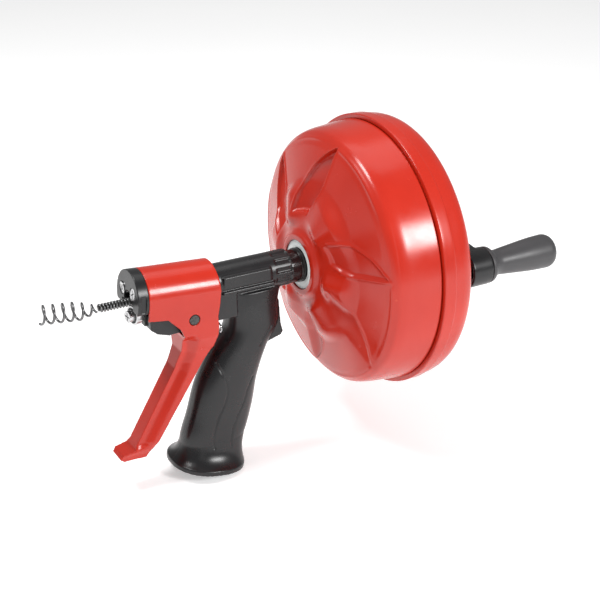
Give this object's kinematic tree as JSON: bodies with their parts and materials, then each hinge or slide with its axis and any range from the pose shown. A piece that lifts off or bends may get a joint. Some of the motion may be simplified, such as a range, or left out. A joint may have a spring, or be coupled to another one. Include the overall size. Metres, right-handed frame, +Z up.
{
  "type": "drain snake machine",
  "caption": "Hand-held drain snake: red cable drum with crank on a black pistol grip, red squeeze trigger with feed rollers, steel cable with open coil tip.",
  "frame": {"origin": "on the drum's spin axis, at the shoulder of the drill shank behind the crank arm", "axes": "+X backwards along the drum axis (the cable leaves towards -X), +Y to the tool's right, +Z up, grip hanging towards -Z"},
  "size_m": [0.3737, 0.2032, 0.2474],
  "materials": {
    "black_plastic": "satin",
    "red_plastic": "semi-gloss",
    "white_nylon": "satin",
    "bright_steel": "bright",
    "dark_steel": "blackened",
    "cable_steel": "oiled wire"
  },
  "bodies": {
    "handle": {"grip_left_half": "black_plastic", "grip_right_half": "black_plastic", "grip_screws": "bright_steel", "drum_spindle": "black_plastic", "retaining_ring": "bright_steel", "guide_tube": "dark_steel", "roller_mount": "dark_steel", "trigger_pin": "dark_steel", "trigger_spring": "bright_steel", "lower_roller_screw": "bright_steel"},
    "lower_roller_body": {"lower_roller": "bright_steel"},
    "trigger": {"trigger_lever": "red_plastic", "nose_block": "black_plastic", "upper_left_roller_screw": "bright_steel", "upper_right_roller_screw": "bright_steel"},
    "upper_left_roller_body": {"upper_left_roller": "bright_steel"},
    "upper_right_roller_body": {"upper_right_roller": "bright_steel"},
    "drum": {"drum_front_shell": "red_plastic", "drum_rear_cover": "red_plastic", "cover_screws": "bright_steel", "hub_bushing": "white_nylon", "thrust_washer": "white_nylon", "cable_coil": "cable_steel", "cable_lead": "cable_steel", "cable_anchor": "dark_steel", "anchor_screw": "bright_steel", "drive_shank": "bright_steel", "shank_clip": "bright_steel", "crank_arm": "black_plastic", "knob_spindle": "bright_steel"},
    "knob": {"crank_knob": "black_plastic"},
    "cable": {"feed_cable": "cable_steel", "auger_tip": "cable_steel"}
  },
  "joints": [
    {"name": "trigger_squeeze", "type": "hinge", "parent": "handle", "child": "trigger", "pos_m": [-0.2054, 0, -0.0153], "axis": [0, -1, 0], "range_deg": [0, 4], "stiffness_Nm_per_rad": 1.6, "springref_deg": -14.32, "deforming": ["trigger_spring"]},
    {"name": "lower_roller_spin", "type": "hinge", "parent": "handle", "child": "lower_roller_body", "pos_m": [-0.2415, 0, -0.01047], "axis": [0.9903, 0.1392, 0], "continuous": true},
    {"name": "upper_left_roller_spin", "type": "hinge", "parent": "trigger", "child": "upper_left_roller_body", "pos_m": [-0.23998, -0.00907, 0.00771], "axis": [0.9794, -0.0696, -0.1893], "continuous": true},
    {"name": "upper_right_roller_spin", "type": "hinge", "parent": "trigger", "child": "upper_right_roller_body", "pos_m": [-0.23998, 0.00907, 0.00771], "axis": [0.9963, -0.0696, 0.0512], "continuous": true},
    {"name": "drum_spin", "type": "hinge", "parent": "handle", "child": "drum", "pos_m": [-0.049, 0, 0], "axis": [1, 0, 0], "continuous": true},
    {"name": "knob_spin", "type": "hinge", "parent": "drum", "child": "knob", "pos_m": [0.0036, -0.067, 0], "axis": [1, 0, 0], "continuous": true},
    {"name": "cable_feed", "type": "slide", "parent": "drum", "child": "cable", "axis": [-1, 0, 0], "range_m": [0, 0.09]}
  ]
}
